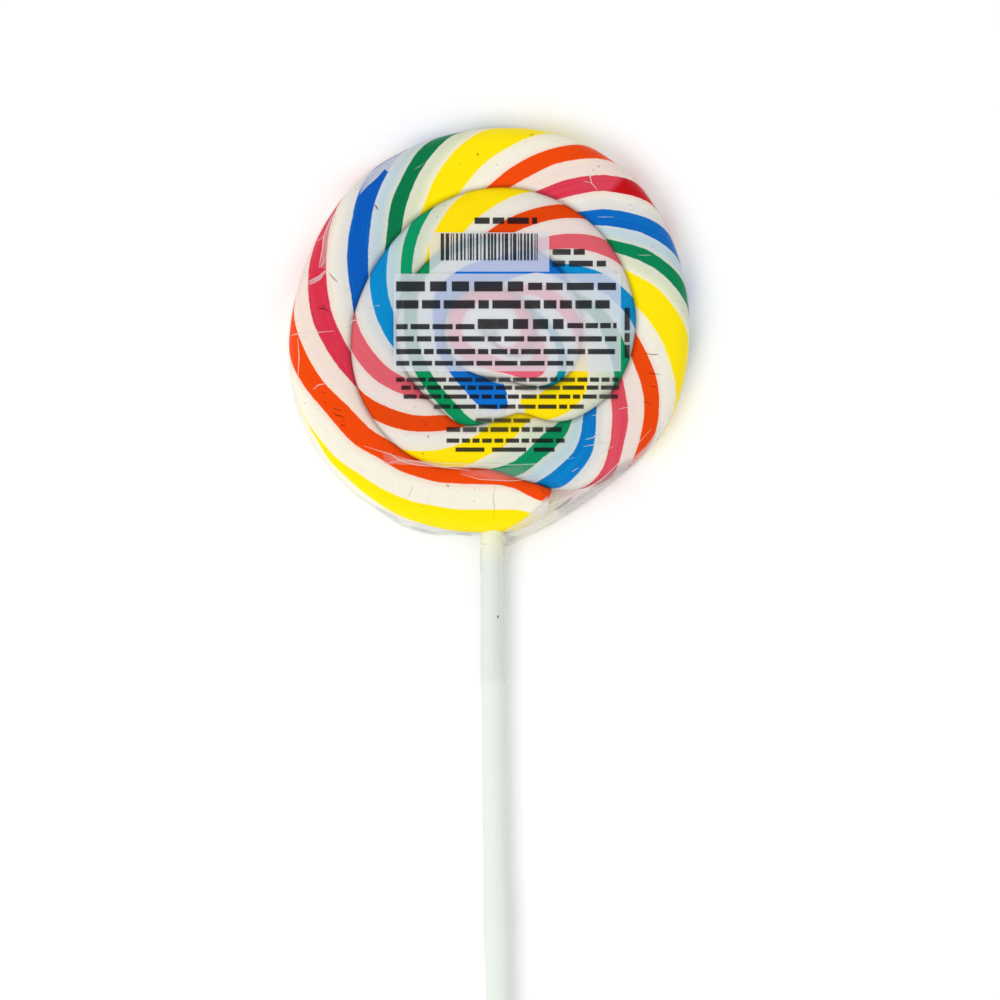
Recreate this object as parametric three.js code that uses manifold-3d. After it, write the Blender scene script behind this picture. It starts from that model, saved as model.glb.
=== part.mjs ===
// Swirl lollipop: one striped rope of pulled sugar, coiled flat and pressed into a disc, on a
// rolled-paper stick, in a clear wrapper that is gathered at the neck.
// It lies on its back on a flat spot. The middle of that spot is the origin, +Z is up, and the
// stick points along -Y. Lengths are millimetres.
// The rope is followed by its turn, an angle in degrees that starts over the stick, grows
// clockwise seen from above, and keeps growing from the cut outer end to the tucked inner end.

import * as THREE from "three";
import { mergeVertices } from "three/addons/utils/BufferGeometryUtils.js";
import Module from "manifold-3d";

const wasm = await Module();
wasm.setup();

// Candy disc
const DISC_RADIUS = 37.9;
const DISC_THICKNESS = 7.7;
const FLAT_DEPTH = 0.5; // how much of the underside is pressed flat
const CURL_HOLE_RADIUS = 1.1;
const CURL_PLUG_RADIUS = 2.7;
const CURL_PLUG_HEIGHT = 6.4;

// Rope
const CUT_END_TURN = -21.4;
const TUCKED_END_TURN = 1425;
const CROWN_SQUARENESS = 3; // power of the section's curve: 2 is an ellipse, more is flatter
const TUCK = 0.15; // how far a turn presses into the next one, as a share of its half width
const TUCK_TURNS = [337, 353]; // the rope's outer side meets its own cut end between these
const CUT_SLANT = { over: 13.6, power: 0.8 }; // how the cut end's outer side slants away
const CUT_BLUNTNESS = 4; // degrees over which its inner side and its top round off
const SMALLEST_SHARE = 0.01; // of the section that is left at the very end

// Each turn of the rope lies inside the last one: its edge steps in by, around the turn at.
const TURN_STEPS = [
  { by: 9.9, at: 345, over: 14.5 },
  { by: 10.4, at: 699.5, over: 13 },
  { by: 9, at: 1044, over: 9.7 },
  { by: 7.5, at: 1404, over: 9.7 },
];

// Hand-pulled candy is uneven: its edge swells or dents by, around the turn at.
const SWELLS = [
  { by: 2.1, at: 47, over: 23 },
  { by: -0.8, at: 111, over: 13 },
  { by: 2, at: 213, over: 22 },
  { by: 0.5, at: 298, over: 11 },
  { by: -4.4, at: 358, over: 15 },
  { by: -3.1, at: 486, over: 36 },
  { by: -4.3, at: 696, over: 31 },
  { by: -2, at: 698, over: 8 },
  { by: 2.2, at: 734, over: 12 },
];

// Stick
const STICK_LENGTH = 150;
const STICK_TIP_Y = -13; // its tip, deep in the candy
const STICK_RADIUS = 2.13;
const STICK_RADIUS_GAIN = 0.2; // the paper is wound looser towards the free end
const LOOSE_PAPER = { by: 0.24, at: -113, over: 4 }; // lump under the last turn of paper
const STICK_BEND = [0.45, 0.1, 2.6]; // x at the tip, of the middle control point, at the end

// Wrapper
const GAP = 0.25; // between one piece and the next
const SLEEVE_WALL = 0.35;
const SLEEVE_TOP_Y = -36;
const SLEEVE_END_Y = -66.5;
const FOLD_DEPTH = 13; // how far the gathered film reaches in over the candy's side
const FOLD_HALF_HEIGHT = 2.3;
const FOLD_EDGE = [ // x and y along its free edge, from the candy's side to the neck
  [33.5, -15.5],
  [27.9, -25.2],
  [19.8, -31.6],
  [15.2, -34.7],
  [9.7, -37.8],
  [5.1, -39.6],
  [2.6, -43.5],
];

// Facets
const FULL_ROPE_TURN = -15; // before this the cut end has finer steps of its own
const CURL_TURN = 1140; // after this the coil is small enough for coarser steps
const STRETCH_TURN = 165;
const STEP_TURN = 7.5;
const CURL_STEP_TURN = 15;
const CUT_END_STEPS = 4;
const SECTION_SIDES = 20;
const PLUG_SIDES = 16;
const PLUG_STEPS = 4;
const STICK_SIDES = 16;
const STICK_STEPS = 26;
const SLEEVE_STEPS = 6;
const FOLD_SIDES = 10;
const FOLD_STEPS = 14;
const WELD = 1e-4; // points this near each other are one

const HALF_THICKNESS = (DISC_THICKNESS + FLAT_DEPTH) / 2;
const MIDDLE_Z = HALF_THICKNESS - FLAT_DEPTH;
const STICK_END_Y = STICK_TIP_Y - STICK_LENGTH;

// A closed three.js geometry as a solid that can be joined or cut.
function solid(geometry) {
  const shape = geometry.clone();
  shape.deleteAttribute("normal");
  shape.deleteAttribute("uv");
  const merged = mergeVertices(shape, WELD);
  return new wasm.Manifold(new wasm.Mesh({
    numProp: 3,
    vertProperties: new Float32Array(merged.attributes.position.array),
    triVerts: new Uint32Array(merged.index.array),
  }));
}

function mesh(name, body, colour, roughness) {
  const { numProp, vertProperties, triVerts } = body.getMesh();
  const geometry = new THREE.BufferGeometry();
  geometry.setAttribute("position", new THREE.BufferAttribute(vertProperties, numProp));
  geometry.setIndex(new THREE.BufferAttribute(triVerts, 1));
  geometry.computeVertexNormals();
  const material = new THREE.MeshStandardMaterial({ color: colour, roughness, metalness: 0 });
  const piece = new THREE.Mesh(geometry, material);
  piece.name = name;
  return piece;
}

// A closed cylinder bent to a new form. place gets how far along it a point is, from 0 to 1,
// its direction from the axis, and its reach: 1 on the wall and 0 in the middle of an end.
function bentCylinder(sides, steps, place) {
  const tube = new THREE.CylinderGeometry(1, 1, 1, sides, steps);
  const points = tube.attributes.position;
  for (let i = 0; i < points.count; i += 1) {
    const x = points.getX(i);
    const z = points.getZ(i);
    const along = 0.5 - points.getY(i);
    points.setXYZ(i, ...place(along, Math.atan2(x, z), Math.hypot(x, z)));
  }
  return solid(tube);
}

const bump = (value, { by, at, over }) => by * Math.exp(-0.5 * ((value - at) / over) ** 2);

const endShare = (share) => THREE.MathUtils.clamp(share, SMALLEST_SHARE, 1);

const crown = (share) => Math.sign(share) * Math.abs(share) ** (2 / CROWN_SQUARENESS);

// Radius of the rope's outer edge. Its inner edge is the outer edge one turn further on.
function edgeRadius(turn) {
  let radius = DISC_RADIUS;
  for (const { by, at, over } of TURN_STEPS) {
    radius -= by / (1 + Math.exp((at - turn) / over));
  }
  for (const swell of SWELLS) {
    radius += bump(turn, swell);
  }
  return Math.max(radius, CURL_HOLE_RADIUS);
}

// The rope's section at a turn: the radius of its middle, its reach to both sides and its height.
function ropeSection(turn) {
  const outerEdge = edgeRadius(turn);
  const innerEdge = edgeRadius(turn + 360);
  const middleTurn = Math.max(turn, 0);
  const middle = (edgeRadius(middleTurn) + edgeRadius(middleTurn + 360)) / 2;
  const halfWidth = (outerEdge - innerEdge) / 2;
  const tuckOut = TUCK * THREE.MathUtils.smoothstep(turn, ...TUCK_TURNS);
  const tuckIn = innerEdge > CURL_HOLE_RADIUS ? TUCK : 0;
  const fromCut = turn - CUT_END_TURN;
  const slope = Math.sin(Math.PI / 2 * endShare(fromCut / CUT_SLANT.over));
  const slanted = slope ** CUT_SLANT.power;
  const blunt = Math.sqrt(1 - (1 - endShare(fromCut / CUT_BLUNTNESS)) ** 2);
  return {
    middle,
    outer: (outerEdge - middle + halfWidth * tuckOut) * slanted,
    inner: (middle - innerEdge + halfWidth * tuckIn) * blunt,
    halfHeight: HALF_THICKNESS * blunt,
  };
}

// A stretch of rope, grown on all sides where it makes room for a neighbour.
function ropeStretch(from, to, steps, grow = 0) {
  return bentCylinder(SECTION_SIDES, steps, (along, direction, reach) => {
    const turn = THREE.MathUtils.lerp(from, to, along);
    const { middle, outer, inner, halfHeight } = ropeSection(turn);
    const sideways = crown(Math.sin(direction)) * reach;
    const up = crown(Math.cos(direction)) * reach;
    const radius = middle + sideways * ((sideways > 0 ? outer : inner) + grow);
    const angle = THREE.MathUtils.degToRad(turn);
    const z = MIDDLE_Z + up * (halfHeight + grow);
    return [-radius * Math.sin(angle), -radius * Math.cos(angle), Math.max(z, -grow)];
  });
}

// The whole rope, joined from its cut end and stretches that are too short to meet themselves.
// Neighbouring turns have their steps at the same angles, so the groove between them runs clean.
function coiledRope(grow = 0) {
  let rope = ropeStretch(CUT_END_TURN, FULL_ROPE_TURN, CUT_END_STEPS, grow);
  for (let from = FULL_ROPE_TURN; from < TUCKED_END_TURN; from += STRETCH_TURN) {
    const to = Math.min(from + STRETCH_TURN, TUCKED_END_TURN);
    const step = from < CURL_TURN ? STEP_TURN : CURL_STEP_TURN;
    rope = rope.add(ropeStretch(from, to, (to - from) / step, grow));
  }
  return rope;
}

// The tucked inner end of the rope, which closes the middle of the coil.
function curlPlug() {
  const wall = new THREE.EllipseCurve(0, MIDDLE_Z, CURL_PLUG_RADIUS, CURL_PLUG_HEIGHT - MIDDLE_Z,
    0, Math.PI / 2);
  const profile = [new THREE.Vector2(0, 0), new THREE.Vector2(CURL_PLUG_RADIUS, 0)];
  profile.push(...wall.getPoints(PLUG_STEPS));
  profile[profile.length - 1].x = 0;
  return solid(new THREE.LatheGeometry(profile, PLUG_SIDES).rotateX(Math.PI / 2));
}

const stickAxis = new THREE.QuadraticBezierCurve3(
  new THREE.Vector3(STICK_BEND[0], STICK_TIP_Y, MIDDLE_Z),
  new THREE.Vector3(STICK_BEND[1], (STICK_TIP_Y + STICK_END_Y) / 2, MIDDLE_Z),
  new THREE.Vector3(STICK_BEND[2], STICK_END_Y, MIDDLE_Z),
);

// A round bar along the stick's axis between two places along Y, as thick as the stick or more.
function barOnStick(fromY, toY, steps, grow = 0) {
  return bentCylinder(STICK_SIDES, steps, (along, direction, reach) => {
    const y = THREE.MathUtils.lerp(fromY, toY, along);
    const share = (STICK_TIP_Y - y) / STICK_LENGTH;
    const axis = stickAxis.getPoint(share);
    const radius = STICK_RADIUS + STICK_RADIUS_GAIN * THREE.MathUtils.clamp(share, 0, 1)
      + bump(y, LOOSE_PAPER) + grow;
    return [
      axis.x + radius * reach * Math.sin(direction),
      y,
      axis.z + radius * reach * Math.cos(direction),
    ];
  });
}

// The film gathered beside the neck: a wedge that is thin along its free edge and thickens
// towards the candy's side.
function gatheredFold() {
  const edge = new THREE.CatmullRomCurve3(
    FOLD_EDGE.map(([x, y]) => new THREE.Vector3(x, y, MIDDLE_Z)),
  );
  return bentCylinder(FOLD_SIDES, FOLD_STEPS, (along, direction, reach) => {
    const tip = edge.getPoint(along);
    const inwards = new THREE.Vector3(-tip.x, -tip.y, 0).normalize();
    const depth = FOLD_DEPTH * (1 - reach * Math.sin(direction)) / 2;
    const taper = Math.sqrt(depth / FOLD_DEPTH);
    const up = FOLD_HALF_HEIGHT * taper * reach * Math.cos(direction);
    return [tip.x + inwards.x * depth, tip.y + inwards.y * depth, MIDDLE_Z + up];
  });
}

const stick = barOnStick(STICK_TIP_Y, STICK_END_Y, STICK_STEPS);

const socket = barOnStick(STICK_TIP_Y + GAP, STICK_END_Y, STICK_STEPS, GAP);

const candy = coiledRope().add(curlPlug()).subtract(socket);

const sleeve = barOnStick(SLEEVE_TOP_Y, SLEEVE_END_Y, SLEEVE_STEPS, GAP + SLEEVE_WALL);

const wrapper = sleeve.add(gatheredFold()).subtract(coiledRope(GAP)).subtract(socket);

const lollipop = new THREE.Group();
lollipop.add(
  mesh("candy_swirl", candy, 0xefe9de, 0.35),
  mesh("stick", stick, 0xedf1ea, 0.8),
  mesh("wrapper", wrapper, 0xdfe3e2, 0.2),
);

export default lollipop;
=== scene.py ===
# Swirl lollipop: a striped rope of pulled sugar coiled flat, on a rolled-paper stick, in a clear
# printed wrapper. It lies on its back with the shown side up. Lengths are millimetres until a
# point is written into a mesh, and the scene is in metres.

import math
import random

import bmesh
import bpy
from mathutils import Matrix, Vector, noise
from mathutils.bvhtree import BVHTree


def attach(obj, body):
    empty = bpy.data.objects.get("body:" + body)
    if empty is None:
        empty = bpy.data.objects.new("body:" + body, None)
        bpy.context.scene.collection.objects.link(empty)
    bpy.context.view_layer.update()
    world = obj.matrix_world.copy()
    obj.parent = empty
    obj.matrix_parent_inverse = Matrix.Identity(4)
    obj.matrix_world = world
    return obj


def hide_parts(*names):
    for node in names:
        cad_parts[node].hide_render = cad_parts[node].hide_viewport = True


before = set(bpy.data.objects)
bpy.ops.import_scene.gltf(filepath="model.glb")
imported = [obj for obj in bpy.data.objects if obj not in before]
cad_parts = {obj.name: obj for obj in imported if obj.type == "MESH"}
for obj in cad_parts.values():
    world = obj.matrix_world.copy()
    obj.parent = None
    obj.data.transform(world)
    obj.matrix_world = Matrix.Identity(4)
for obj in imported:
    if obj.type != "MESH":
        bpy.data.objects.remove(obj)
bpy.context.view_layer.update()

MM = 0.001
UV_MAPS = ("UVMap", "Groove")

# Candy disc
DISC_RADIUS = 37.9
DISC_THICKNESS = 7.7
FLAT_DEPTH = 0.5
HALF_THICKNESS = (DISC_THICKNESS + FLAT_DEPTH) / 2
MIDDLE_Z = HALF_THICKNESS - FLAT_DEPTH
CURL_HOLE_RADIUS = 1.1
CURL_PLUG_RADIUS = 2.7
CURL_PLUG_HEIGHT = 6.4
CURL_PLUG_SIDES = 32
CURL_PLUG_STEPS = 16
SHARP_ANGLE = 40

# Rope. It is followed by its turn, an angle in degrees that starts over the stick, grows
# clockwise seen from above, and keeps growing from the cut outer end to the tucked inner end.
CUT_END_TURN = -21.4
FULL_ROPE_TURN = -15
CURL_TURN = 1140
TUCKED_END_TURN = 1425
CROWN_SQUARENESS = 3
TUCK = 0.15
TUCK_TURNS = (337, 353)
CUT_SLANT_TURNS = 13.6
CUT_SLANT_POWER = 0.8
CUT_BLUNTNESS = 4
SMALLEST_SHARE = 0.01
# The outer edge comes in by so much at a turn, and swells by so much, each over so many degrees.
TURN_STEPS = ((9.9, 345, 14.5), (10.4, 699.5, 13), (9, 1044, 9.7), (7.5, 1404, 9.7))
SWELLS = (
    (2.1, 47, 23), (-0.8, 111, 13), (2, 213, 22), (0.5, 298, 11), (-4.4, 358, 15),
    (-3.1, 486, 36), (-4.3, 696, 31), (-2, 698, 8), (2.2, 734, 12),
)
UNEVENNESS = 0.12
UNEVEN_OVER = 6
UNEVEN_SEED = 1  # without one, the noise is another in each run
STRETCH_TURN = 165
STEP_TURN = 1.5
CURL_STEP_TURN = 3
CUT_END_STEPS = 16
SECTION_SIDES = 56
CROWN_HALF = 0.25  # the share of the section from the crown's middle to where its underside starts

# Stripes of the rope, in the order in which they cross its crown: yellow, orange, pink, blue and
# green. Each has its place in one twist of the rope, half its width, its two tones, and how
# strongly and how far it tints the white beside it. Places and widths are shares of a twist.
STRIPES = (
    (0, 0.085, "#FEE600", "#FADE00", 0.12, 0.05),
    (0.24, 0.047, "#F04A00", "#E04400", 0.14, 0.035),
    (0.43, 0.047, "#D8324C", "#DC606C", 0.15, 0.04),
    (0.625, 0.048, "#005ABA", "#008CCA", 0.2, 0.11),
    (0.79, 0.038, "#007848", "#029664", 0.2, 0.11),
)
# Between some stripes the white has taken up their dyes: pink, blue and green.
TINTS = (
    (0.335, 0, "#EED3CC", "#E8D4CF", 0.75, 0.055),
    (0.708, 0, "#D6E6EC", "#CEE0E4", 0.9, 0.06),
    (0.872, 0, "#E6E8CA", "#DEE1CC", 0.9, 0.05),
)
PALER_TURNS = (170, 420)  # the dyes are paler further in
STRIPE_EDGE = 0.003  # how far a stripe's edge fades
BETWEEN_STRIPES = 0.125  # the share of a twist where the rope is bare past the yellow stripe
# The turns at which one stripe after the other crosses the crown, from the first orange on.
CROSSINGS = (
    66, 95, 128, 150, 172, 197, 215, 232, 246, 265, 290, 308, 322, 338, 365, 400, 430, 466, 493,
    524, 560, 582, 606, 630, 680,
)
# A turn and the twist that crosses the crown there, before the first of these and past the last.
LOOSE_START = ((-40, 0.34), (-21, 0.33), (-15, 0.215), (-9, 0.134), (8, 0.13), (22, 0.134),
               (40, 0.149), (50, 0.182), (60, 0.211))
LOOSE_FINISH = ((700, 5.12), (720, 5.2))
# The first yellow stripe starts as a wedge, which lies between two shares of a twist.
WEDGE_TURNS = (-5, 64)
WEDGE_OUTER = (-0.09, 0.08)
WEDGE_INNER = (0.085, 0.09)
ROUND_BELOW = -0.165  # the stripes under this share lie round the underside
# The first orange stripe is wide at the cut end and narrows to its own width.
WIDE_ORANGE_TURNS = (-21, 38)
WIDE_ORANGE = (0.52, 0.287)
LAST_TWIST = 5.12  # past the last yellow stripe the rope has no stripe
DEEP_RED = (1.43, 220)  # the second pink stripe is deep red past this turn
CROWN_SPREAD = 0.85  # how much of a true helix's lean the stripes have on the crown
# By how much of itself the lean differs round a turn, and over how many degrees.
LEANS = ((0.08, 58, 14), (0.45, 318, 18), (-0.25, 475, 30), (-0.45, 652, 14))
# The core of the coil is another rope, barely twisted, joined on end to end: green, blue, pink,
# green-blue and pink again.
JOINT_TURN = 703.5
JOINT_HALF = 5  # half the white stretch at the joint
CORE_STRIPES = (
    (0, 0.038, "#00784A", "#029058", 0.2, 0.08),
    (0.21, 0.085, "#045CC4", "#0470CC", 0.2, 0.08),
    (0.41, 0.040, "#DC4A60", "#E46478", 0.15, 0.05),
    (0.56, 0.025, "#008494", "#0090A0", 0.2, 0.08),
    (0.7, 0.050, "#DC4A60", "#E46478", 0.15, 0.05),
)
# A turn and the twist that crosses the crown of the core there.
CORE_TWIST = (
    (650, 0.21), (703, 0.2), (720, 0.18), (745, 0.09), (805, 0.05), (848, 0.11), (880, 0.12),
    (910, 0.16), (951, 0.38), (975, 0.46), (997, 0.55), (1030, 0.69), (1060, 0.73), (1100, 0.73),
    (1200, 0.775), (1300, 0.78), (1430, 0.78), (1500, 0.78),
)
GROOVE_SHADE_INNER = (0.72, 0.97)  # where painted groove shade darkens the rope, as shares of its half width
GROOVE_SHADE_OUTER = (0.8, 0.96)

# Hairline cracks, scratches and specks: a width, how dark it is, and its points.
CRACKS = (
    (0.25, 0.22, ((1.1, -29.2), (0.6, -31.5), (0.9, -33.5), (0.6, -35.6))),
    (0.25, 0.22, ((-15.4, -31.6), (-15, -30.4), (-14.4, -29.2))),
    (0.45, 0.6, ((-21.8, 23.8), (-21.1, 22.8))),
    (0.4, 0.4, ((-30.4, 10.9), (-29.6, 9.9), (-28.7, 9.1))),
    (0.35, 0.65, ((-32.4, 4.2), (-31.3, 4.1), (-30.3, 3.5))),
    (0.25, 0.6, ((-31.8, 4.8), (-30.9, 4.3))),
    (0.3, 0.4, ((-29.8, -14.6), (-28.9, -14.9), (-27.8, -15.3))),
    (0.35, 0.45, ((-29.5, -15.4), (-29.1, -16), (-28.3, -16.1), (-27.4, -16.5))),
    (0.3, 0.4, ((-28.3, -18.1), (-27.7, -17.8), (-27.2, -18))),
    (0.25, 0.3, ((-28, -17.4), (-27.4, -16.9))),
    (0.25, 0.3, ((-31.5, -13.4), (-30.6, -13.8))),
    (0.25, 0.25, ((-32.1, -11.6), (-30.9, -11.8))),
    (0.25, 0.25, ((-25.9, -20.9), (-24.9, -21))),
    (0.3, 0.3, ((-12.3, -17.1), (-12.1, -17.6), (-12.2, -18.2))),
    (0.25, 0.6, ((29.3, -4.2), (30.6, -4.6), (31.9, -4.5))),
    (0.25, 0.6, ((29.7, -8), (31.9, -8.3))),
    (0.2, 0.5, ((30.1, -10.5), (31.7, -10.7))),
    (0.2, 0.5, ((28.8, -13.4), (30.6, -13.9))),
    (0.45, 0.5, ((-8.2, -29.2), (-7.7, -29.4))),
    (0.4, 0.5, ((-11.8, -19.8), (-11.5, -20.2))),
    (0.4, 0.7, ((-2.5, 33.4), (-2.1, 33.1))),
    (0.35, 0.4, ((7.4, 36.9), (8.3, 37.1))),
    (0.35, 0.4, ((-12.9, -23), (-12.5, -23.4))),
    (0.3, 0.5, ((20.4, 31.2), (20.7, 30.8))),
    (0.3, 0.4, ((9.7, -29.8), (10.3, -30.7))),
)

# Stick
STICK_LENGTH = 150
STICK_TIP_Y = -13
STICK_END_Y = STICK_TIP_Y - STICK_LENGTH
STICK_RADIUS = 2.13
STICK_RADIUS_GAIN = 0.2
LOOSE_PAPER = (0.24, -113, 4)  # a lump: how high, where along the stick, and over how much
STICK_BEND = (0.45, 0.1, 2.6)  # how far aside its curve's start, handle and end lie
STICK_SIDES = 64
STICK_STEP = 1.5
PAPER_EDGE = 0.06  # where the paper's edge lies round the stick, as a share of the way round
PAPER_TURNS = 7
SOCKET_STEPS = 60
SOCKET_GAP = 0.02

# Wrapper
FILM = 0.05
ASIDE = 0.0037  # how far a ray stands aside from the point that it looks under
SLEEVE_TOP_Y = -36
SLEEVE_END_Y = -66.5
FOLD_EDGES = (
    ((33.5, -15.5), (27.9, -25.2), (19.8, -31.6), (15.2, -34.7), (9.7, -37.8), (5.1, -39.6),
     (2.6, -43.5)),
    ((-24.6, -31.3), (-21.5, -33.9), (-16, -37.5), (-9.9, -38.9), (-6.7, -38.6), (-3.2, -38.9),
     (0, -38.3)),
)
SHOULDER = 4.5  # how far in from its edge the film lies flat
FILM_SIDES = 400
FILM_TOP_ROWS = 72
FILM_RIM_ROWS = 26
SNUG_SIDES = 4  # the film spans hollows of the rim that are narrower than twice as many sides
SMOOTHINGS = 6
SLACK = 0.3  # film that is further than this from the candy is loose
SLACK_WIDTH = 4  # and this much further it is pinched to a flat fold
PINCH = 1.7
FOLD_MILKY = 0.3
FOLD_MILKY_PAST = (0.1, 1.5)  # how far past the candy it starts, and how far past it is full
FOLLOW = 0.3  # how far the film sinks into a groove, as a share of its depth
CURL_SPAN = 0.4  # how far round it the film is held up by the rope's tucked end
CRACK_LIFT = 0.015
SLEEVE_GAP = 0.14
SLEEVE_PLEAT = 0.1
PLEAT_LENGTH = 12
SLEEVE_RAGGED = 1.6
SLEEVE_STEPS = 60
SLEEVE_MILKY = 0.02
SLEEVE_CLOUD = 5  # how long a milky patch of the sleeve is
CREASE_HEIGHT = 0.09
STEP_ALONG = 0.5
STRIPS_ACROSS = 4
FEWEST_STEPS = 4

# Creases of the film: a width, how milky it is, and its points. They stand a little proud. Their
# milky white is partly the whitened crease and partly a painted glint.
CREASES_AND_GLINTS = (
    (0.35, 0.8, ((-29.6, 22), (-30.2, 20.8), (-31.4, 17.8), (-31.6, 15.4), (-32.3, 11.8))),
    (0.2, 0.6, ((-32.7, 17), (-32.2, 17.2), (-31.4, 17.9))),
    (0.25, 0.8, ((-31.6, 14), (-31.2, 13.4), (-31.7, 12.2), (-32.3, 12))),
    (0.25, 0.9, ((-30.9, 11.5), (-32.1, 10.3), (-34.5, 9.1))),
    (0.25, 0.9, ((-30.9, 11.2), (-32, 9.7), (-33, 9.1), (-34.3, 8.6))),
    (0.35, 0.95, ((-24.6, 25.7), (-23.2, 27.3), (-21.4, 28.9), (-19.9, 30.6), (-18.8, 29.7))),
    (0.2, 0.7, ((-22.9, 28.6), (-20.4, 31.1), (-18, 32.7), (-16.2, 33.7))),
    (0.2, 0.6, ((-20.2, 31.4), (-18.8, 31.3), (-17.1, 33.5))),
    (0.25, 0.7, ((-1.9, -40.2), (-1.2, -40.5), (-0.3, -40.4))),
    (0.2, 0.5, ((-1.75, -41), (-1.85, -43.5), (-1.8, -46))),
    (0.2, 0.6, ((-37.4, -0.9), (-35.9, -0.3))),
    (0.25, 0.8, ((-38, -0.9), (-34, -0.5), (-29.3, -0.1))),
    (0.3, 0.7, ((-36.3, -1.4), (-36, -5), (-36.3, -9.8))),
    (0.3, 0.8, ((-33.3, -11.1), (-32.4, -10.3), (-30.8, -10))),
    (0.3, 0.8, ((-26.6, 1), (-25.9, 1.9), (-24.7, 2))),
    (0.2, 0.7, ((-21.9, 4.5), (-20.7, 4.8))),
    (0.3, 0.8, ((-23.8, -21.8), (-20.3, -22.9), (-18.8, -23.3), (-17.1, -24.4), (-13.3, -24.8),
                (-9.3, -25.7), (-1, -25.4))),
    (0.25, 0.8, ((-20, -25.2), (-17.1, -24.6), (-13.7, -25.4), (-9.5, -25.7), (-3.6, -26.5))),
    (0.3, 0.6, ((-17.1, -24.4), (-8, -25.1), (4, -25.4), (10.5, -25.1), (16, -24))),
    (0.25, 0.7, ((-5.5, -27.1), (-1.9, -28.1), (4, -28.4), (8.6, -27.9))),
    (0.25, 0.7, ((24.2, -14.9), (26.6, -14.3))),
    (0.2, 0.7, ((19.2, -16.1), (21.1, -15.7))),
    (0.3, 0.8, ((18, -20.6), (19.5, -20.2), (20.7, -19.1))),
    (0.3, 0.8, ((17.7, -21.9), (20.5, -21.4), (22.6, -21.2))),
    (0.2, 0.7, ((20.1, -24.2), (21.6, -22.6), (23.4, -21.9))),
    (0.25, 0.7, ((15.4, -26.7), (16.7, -25.9))),
    (0.3, 0.9, ((18.1, 30.3), (18.9, 29), (19.2, 27.8), (20.3, 26.5))),
    (0.2, 0.8, ((18.9, 29), (20.3, 29.6))),
    (0.2, 0.8, ((17.6, 28.2), (19.2, 27.8))),
    (0.2, 0.7, ((20.3, 21.4), (23.4, 21.4))),
    (0.2, 0.7, ((27.9, 14.2), (30.4, 14.2))),
    (0.2, 0.5, ((-14.2, 30.4), (-12.4, 31.5))),
    (0.15, 0.5, ((-27.5, 6.8), (-26.6, 8.2))),
    (0.3, 0.7, ((21.1, -28.3), (16.3, -30.6), (14.1, -31.8), (10.6, -33.2), (8, -35.8))),
    (0.3, 0.7, ((30.5, -18.6), (26, -23.4), (21.6, -27.7), (17.3, -30.8), (12.6, -34.2),
                (7, -37.2), (3.4, -39))),
    (0.25, 0.6, ((32.6, -18.6), (27, -25), (21.6, -29.2), (15.2, -33.4), (9.4, -36.8),
                 (4.8, -38.9))),
    (0.5, 0.8, ((33.2, -19.1), (27.7, -25), (22.6, -29.1), (18.8, -31.9), (15, -34.8),
                (10.3, -37.3), (5.5, -39.1), (3.4, -41.4), (2.6, -44.5))),
    (0.35, 0.6, ((11.4, -31.4), (9, -33.8), (5.4, -36.4), (1.9, -38.6))),
    (0.3, 0.6, ((13.2, -30.6), (12, -33), (9.4, -35), (5, -37.6))),
)
# Stretches of folded film between two lines: how milky and how grey they are, and the points of
# both lines. Their milky white is partly whitened folded film and partly a painted highlight;
# their grey is painted shade, and a stretch that is only grey is a sheet of painted shade.
VEILS = (
    (0.28, 0, ((-20.3, -22.9), (-13.3, -24.8), (-4, -25.8)), ((-20, -25.2), (-13.7, -25.4),
                                                         (-3.6, -26.5))),
    (0.16, 0, ((-5.5, -26.5), (0, -26.3), (7.6, -25.2)), ((-5.5, -27.1), (1.5, -28.3),
                                                          (9.2, -27.7))),
    (0.8, 0, ((-24.5, 25.8), (-23.2, 27.3), (-21.4, 28.9), (-19.9, 30.6), (-18.8, 29.8),
              (-16.6, 31.6)),
     ((-25.6, 27.1), (-24.2, 28.6), (-22.2, 30.3), (-19.6, 32.1), (-16.4, 33.9), (-13.4, 35))),
    (0.35, 0, ((-29.6, 22), (-31.4, 17.8), (-31.6, 15.4), (-32.3, 11.8)),
     ((-29, 21.4), (-30.6, 17.6), (-30.7, 14.5), (-31, 11.6))),
    (0.55, 0, ((-30.9, 11.5), (-32.1, 10.3), (-34.5, 9.1)), ((-30.9, 11.2), (-32.1, 9.7),
                                                         (-34.3, 8.6))),
    (0.35, 0, ((34.4, -16), (31, -21.5), (27.5, -25.5)), ((33.2, -16.5), (29.6, -21.7),
                                                        (26, -25))),
    (0.25, 0.4, ((28.4, -24.8), (20, -31.4), (13.2, -35.7)), ((26, -24.2), (19, -29.8),
                                                            (12.6, -33.7))),
    (0.6, 0, ((15, -34.6), (10.5, -37.4), (3.4, -41)), ((14, -33), (9.6, -35.8), (3, -38.6))),
    (0.7, 0.1, ((11, -31.2), (11, -33.9), (9.3, -35.9), (5, -38.5)),
     ((10.8, -31.2), (8.7, -33.3), (7, -35.4), (2.6, -37.9))),
    (0, 0.5, ((11.8, -33.9), (13.8, -32.6), (15.5, -31.3)), ((12.4, -34.1), (14.3, -32.9),
                                                            (15.8, -31.7))),
    (0, 0.3, ((2.9, -38.8), (4.4, -38.8), (6, -38.8)), ((2.9, -41), (3.9, -40.4), (6, -39.1))),
    (0, 0.12, ((-21.4, -33.1), (-18.5, -35.1), (-15.8, -36.5)), ((-21.5, -33.8), (-18.7, -35.8),
                                                                (-16, -37.4))),
    (0, 0.35, ((-15, -36.7), (-12.5, -37.5), (-9.9, -38.2)), ((-15.3, -37.3), (-12.5, -38.2),
                                                            (-9.9, -38.7))),
    (0, 0.35, ((-6.7, -38.1), (-4.9, -38.3), (-3.2, -38.4)), ((-6.6, -38.5), (-4.8, -38.7),
                                                            (-3.2, -38.8))),
)

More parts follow.
